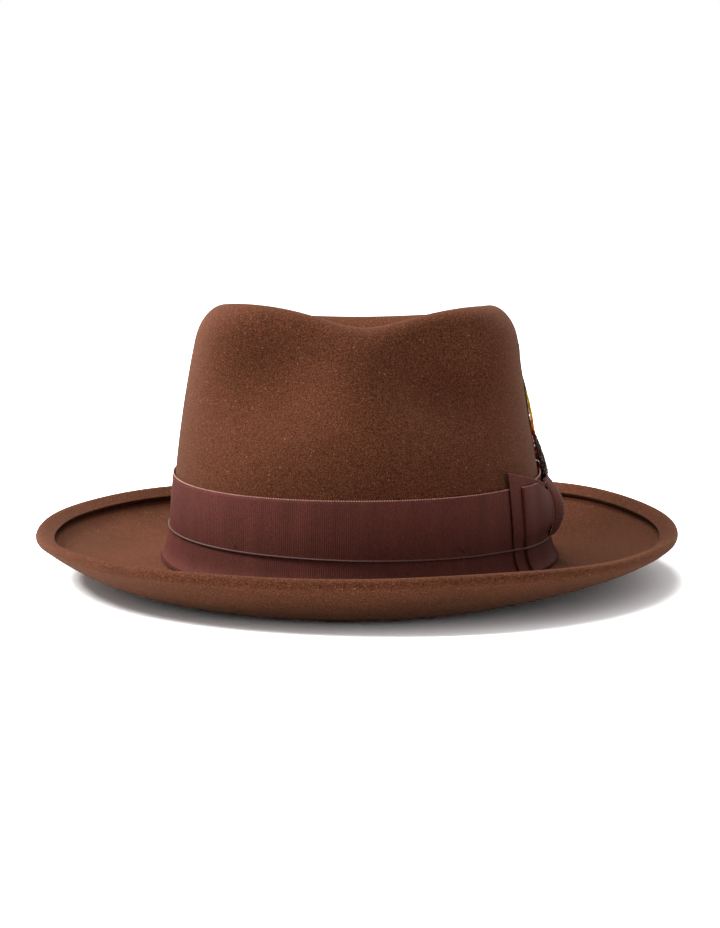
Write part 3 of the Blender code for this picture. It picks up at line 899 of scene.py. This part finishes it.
def barb_mesh(path, out, width, thickness):
    """A flat barb along a path, with a pointed tip, about the face direction out."""
    ahead = np.gradient(path, axis=0)
    across = np.cross(ahead, out)
    across /= np.linalg.norm(across, axis=1, keepdims=True)
    taper = (1.0 - np.linspace(0.0, 1.0, len(path)) ** 3 * 0.92)[:, None]
    ring = np.stack(
        (
            path + across * width * taper,
            path + out * thickness,
            path - across * width * taper,
            path - out * thickness,
        ),
        axis=1,
    )
    faces = []
    for step in range(len(path) - 1):
        for k in range(4):
            m = (k + 1) % 4
            faces.append((step * 4 + k, step * 4 + m, step * 4 + 4 + m, step * 4 + 4 + k))
    faces.append((3, 2, 1, 0))
    last = 4 * (len(path) - 1)
    faces.append((last, last + 1, last + 2, last + 3))
    return ring.reshape(-1, 3), faces


def make_feather(name, node, size, lean, lifts, material, sweep=1.5, ragged=0.08):
    """A shaft with a close row of barbs on each side, lying along the crown.

    size is the height of the tip and the width, and lifts are how far the foot, belly and tip stand off
    the crown, all in millimetres.
    """
    high, width = size[0] * MM, size[1] * MM
    foot, belly, tip = (lift * MM for lift in lifts)

    def middle(v):
        angle = SPRAY_ANGLE + lean * v + 0.3 * lean * v * v
        lift = foot * (1.0 - v) ** 2 + 2.0 * belly * v * (1.0 - v) + tip * v * v
        return angle, FEATHER_FOOT + (high - FEATHER_FOOT) * v, lift

    shaft_places = np.linspace(0.0, 1.0, 24)
    shaft = np.array([on_crown(*middle(v)) for v in shaft_places])
    parts = [tube_mesh(shaft, 0.30 * MM * (1.0 - 0.75 * shaft_places), 6, closed=False)]
    pitch = 0.34 * MM
    count = int((high - FEATHER_FOOT) / pitch)
    for index in range(count):
        start = 0.03 + 0.96 * index / count
        swell = math.sin(math.pi * min(1.0, 0.10 + 0.895 * start)) ** 0.6
        for side in (-1.0, 1.0):
            reach = 0.5 * width * swell * (1.0 - ragged * rng.random()) + 0.4 * MM
            angle, height, lift = middle(start)
            share = np.linspace(0.0, 1.0, 6)
            sideways = angle + side * reach * share / OVAL_LENGTH
            rise = height + sweep * (1.0 - 0.45 * start) * reach * share**1.4
            stand = lift * (1.0 - 0.70 * rng.random() * share) - 0.20 * MM * share**2
            path = on_crown(sideways, rise, np.maximum(stand, 0.25 * MM))
            out = raised(oval_normal(sideways), 0.0)
            parts.append(barb_mesh(path, out, 0.36 * MM, 0.07 * MM))
    feather = make_object(name, *join_meshes(parts), material, "feather_spray")
    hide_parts(node)


def make_plume(material):
    """The short speckled plumage at the foot, which stands up from the others."""
    parts = []
    for _ in range(420):
        v = rng.random()
        height = FEATHER_FOOT + 17.0 * MM * v
        angle = SPRAY_ANGLE + 0.02 * v + rng.normal() * 0.030
        share = np.linspace(0.0, 1.0, 6)
        fan = rng.normal() * 1.5 * MM
        puff = (0.6 + 2.6 * rng.random()) * MM * (1.0 - 0.55 * v * v)
        length = (5.0 + 4.0 * rng.random()) * MM
        sideways = angle + fan * share**1.3 / OVAL_LENGTH
        rise = height + length * share
        stand = 1.9 * MM + puff * np.sin(math.pi * (0.12 + 0.80 * share))
        path = on_crown(sideways, rise, stand)
        parts.append(barb_mesh(path, raised(oval_normal(sideways), 0.0), 0.32 * MM, 0.08 * MM))
    plume = make_object("plume_speckled", *join_meshes(parts), material, "feather_spray")
    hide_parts("feather_speckled")


def make_feathers(thread_material):
    dark = feather_look(
        "feather_dark_barbs",
        ((31.0, (0.016, 0.013, 0.006)), (70.0, (0.026, 0.022, 0.007)), (84.0, (0.040, 0.024, 0.009)),
         (96.0, (0.060, 0.030, 0.013))),
    )
    golden = feather_look(
        "feather_golden_barbs",
        ((31.0, (0.20, 0.010, 0.003)), (50.0, (0.34, 0.016, 0.004)), (56.0, (0.52, 0.060, 0.006)),
         (60.0, (0.78, 0.230, 0.010)), (65.0, (0.90, 0.520, 0.030)), (70.0, (0.80, 0.560, 0.050)),
         (75.0, (0.22, 0.190, 0.020)), (86.0, (0.035, 0.030, 0.010))),
    )
    red = feather_look(
        "feather_red_barbs",
        ((31.0, (0.10, 0.006, 0.003)), (48.0, (0.30, 0.012, 0.004)), (58.0, (0.50, 0.050, 0.008)),
         (70.0, (0.60, 0.110, 0.012))),
    )
    speckled = feather_look(
        "feather_speckled_barbs",
        ((31.0, (0.026, 0.014, 0.008)), (45.0, (0.045, 0.027, 0.015)), (60.0, (0.040, 0.040, 0.014))),
        fleck=(0.30, 0.25, 0.17),
    )
    make_feather("plume_dark", "feather_dark", (95.0, 12.0), 0.03, (0.6, 1.3, 0.7), dark)
    make_feather("plume_golden", "feather_golden", (80.0, 9.5), 0.02, (1.7, 3.9, 1.0), golden)
    make_feather("plume_red", "feather_red", (60.0, 9.0), 0.03, (2.2, 3.2, 1.9), red, 1.1, 0.3)
    make_plume(speckled)
    dress("quill_binding", thread_material)


# ---------------------------------------------------------------- inside

LEATHER = 1.1 * MM
SWEATBAND_TOP = 39.0 * MM
SWEATBAND_BOTTOM = 3.0 * MM
SATIN = 0.3 * MM


def inside_sheet(name, node, point, rows, columns, thickness, material, closed=False):
    """A layer that faces the head. point(u, v, depth) gives its place at a depth from the felt."""
    far = sheet_grid(lambda u, v: point(u, v, thickness), rows, columns, closed)
    near = sheet_grid(lambda u, v: point(u, v, 0.0), rows, columns, closed)
    layer = shell(name, near, far, material, closed=closed)
    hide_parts(node)
    return layer, flat_size(near)


def make_sweatband(leather, thread):
    def point(u, v, depth):
        angle = TURN * u
        low = SWEATBAND_BOTTOM + break_level(angle)
        height = low + (SWEATBAND_TOP - low) * v
        ease = 0.25 * MM * np.sin(7.0 * angle) * v
        return inside_crown(angle, height, 1.9 * MM + depth + ease)

    inside_sheet("head_leather", "sweatband", point, 24, 300, LEATHER, leather, closed=True)
    stitches = []
    count = 190
    for index in range(count):
        angle = TURN * (index + np.array((-0.32, 0.0, 0.32))) / count
        lift = 2.0 * MM + LEATHER + np.array((0.0, 0.18, 0.0)) * MM
        path = inside_crown(angle, 5.2 * MM + break_level(angle), lift)
        stitches.append(tube_mesh(path, 0.22 * MM, 6, closed=False))
    row = make_object("head_leather_stitches", *join_meshes(stitches), thread)


def make_lining(satin, film):
    """Satin inside the crown: a gathered side band above the leather, the top panel and its clear shield."""
    angles = TURN * np.arange(300) / 300
    gathers = 0.22 * MM * np.sin(44.0 * angles)[None, :, None]

    def layer(name, node, first, last, rows, stand_off, thickness, material, slot, capped):
        grid = pinch(spline(section_controls(angles), np.linspace(first, last, rows)))
        normals = surface_normals(grid)
        fullness = gathers * (0.0 if capped else 1.0)
        outer = grid - normals * (stand_off + fullness)
        made = shell(name, outer, outer - normals * thickness, material, closed=True, capped=capped)
        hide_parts(node)
        return made, outer

    sides, grid = layer(
        "satin_sides", "lining_sides", 0.40, 0.497, 26, 2.1 * MM, SATIN, satin, "satin", False
    )
    flat_size(grid)
    tip, grid = layer("satin_tip", "lining_tip", 0.05, 0.392, 50, 2.8 * MM, SATIN, satin, "satin", True)
    layer("film_shield", "tip_shield", 0.05, 0.20, 24, 3.4 * MM, 0.25 * MM, film, "clear_film", True)


def make_trimmings(grosgrain, leather, ticket):
    """The joint strip, little bow and blank ticket at the back of the sweatband."""

    def strip(u, v, depth):
        angle = BACK + (u - 0.5) * 0.17
        height = 6.0 * MM + (SWEATBAND_TOP - 8.0 * MM) * v
        return inside_crown(angle, height, 2.4 * MM + LEATHER + depth)

    def small_bow(u, v, depth):
        side = 2.0 * u - 1.0
        angle = BACK + side * 0.11
        height = (13.0 + (v - 0.5) * (3.0 + 4.5 * np.abs(side))) * MM
        waist = 0.8 * MM * (1.0 - np.abs(side))
        return inside_crown(angle, height, 3.4 * MM + LEATHER + waist + depth)

    def tag(u, v, depth):
        angle = math.radians(112.0) + (u - 0.5) * 0.22
        return inside_crown(angle, (22.0 + 12.0 * v) * MM, 0.75 * MM + depth)

    inside_sheet("joint_strip", "sweatband_seam", strip, 12, 16, 0.6 * MM, leather)
    inside_sheet("little_bow", "sweatband_bow", small_bow, 8, 40, 0.8 * MM, grosgrain)
    made, flat = inside_sheet("blank_ticket", "size_label", tag, 10, 18, 0.3 * MM, ticket)


def make_inside(grosgrain):
    leather = leather_look()
    make_sweatband(leather, plain_thread_look("thread_tan", (0.20, 0.10, 0.05), (0.42, 0.26, 0.15)))
    make_lining(satin_look(), film_look())
    make_trimmings(grosgrain, leather, ticket_look())
    dress("sweatband_reed", leather)


# ---------------------------------------------------------------- light, floor and camera

CAMERA_DISTANCE = 1.30
CAMERA_RISE = 7.0
PIXELS_PER_METRE = 2200.0
LONG_SIDE = 928
SENSOR = 36.0
AIM = (1.4 * MM, 0.0, 41.0 * MM)
LIT = (0.0, 0.0, 0.04)
FLOOR_GAP = 0.3 * MM
FLOOR_REACH = 6.0


def make_camera():
    data = bpy.data.cameras.new("camera")
    data.sensor_width = SENSOR
    data.lens = PIXELS_PER_METRE * CAMERA_DISTANCE / LONG_SIDE * SENSOR
    data.clip_end = 20.0
    camera = bpy.data.objects.new("camera", data)
    rise = math.radians(CAMERA_RISE)
    camera.location = (
        AIM[0],
        AIM[1] - CAMERA_DISTANCE * math.cos(rise),
        AIM[2] + CAMERA_DISTANCE * math.sin(rise),
    )
    camera.rotation_euler = (math.radians(90.0) - rise, 0.0, 0.0)
    bpy.context.scene.collection.objects.link(camera)
    bpy.context.scene.camera = camera


def make_light(name, place, size, power):
    data = bpy.data.lights.new(name, "AREA")
    data.shape = "SQUARE"
    data.size = size
    data.energy = power
    lamp = bpy.data.objects.new(name, data)
    lamp.location = place
    direction = mathutils.Vector(LIT) - mathutils.Vector(place)
    lamp.rotation_euler = direction.to_track_quat("-Z", "Y").to_euler()
    bpy.context.scene.collection.objects.link(lamp)


def make_studio():
    world = bpy.data.worlds.new("studio")
    bpy.context.scene.world = world
    world.use_nodes = True
    world.node_tree.nodes["Background"].inputs["Color"].default_value = (1.0, 1.0, 1.0, 1.0)
    world.node_tree.nodes["Background"].inputs["Strength"].default_value = 1.0
    low = cad_box[0][2] - FLOOR_GAP
    far = FLOOR_REACH
    mesh = bpy.data.meshes.new("floor")
    corners = [(-far, -far, low), (far, -far, low), (far, far, low), (-far, far, low)]
    mesh.from_pydata(corners, [], [(0, 1, 2, 3)])
    floor = bpy.data.objects.new("floor", mesh)
    look = Look("floor_paper", 0.9, specular=0.1)
    grain = look.noise(3.0, 2.0, 0.5)
    look.colour(look.ramp(grain, (0.3, 0.99), (0.7, 1.0)))
    mesh.materials.append(look.material)
    bpy.context.scene.collection.objects.link(floor)
    make_light("key", (-1.25, -0.05, 1.35), 0.6, 72.0)
    make_light("top", (-0.20, 0.45, 1.60), 1.0, 52.0)
    bpy.context.scene.view_settings.view_transform = "Standard"


def main():
    make_camera()
    felt = felt_look()
    grosgrain = grosgrain_look("grosgrain_maroon", (0.040, 0.0104, 0.0076), (0.078, 0.0218, 0.0162))
    # Selvedge thread: the ribbon's woven edge, coloured lighter than the ribbon as a painted highlight.
    edge = plain_thread_look("selvedge_thread_painted_highlight", (0.12, 0.050, 0.040), (0.34, 0.170, 0.135))
    cord = plain_thread_look("cord_braid", (0.030, 0.012, 0.010), (0.090, 0.040, 0.033))
    waxed = plain_thread_look("thread_waxed", (0.006, 0.003, 0.0025), (0.016, 0.008, 0.007))
    make_felt(felt)
    make_ribbon(grosgrain, edge)
    make_bow(grosgrain, edge)
    make_cord(cord)
    make_tacks(waxed)
    make_feathers(waxed)
    make_inside(grosgrain)
    make_studio()


main()
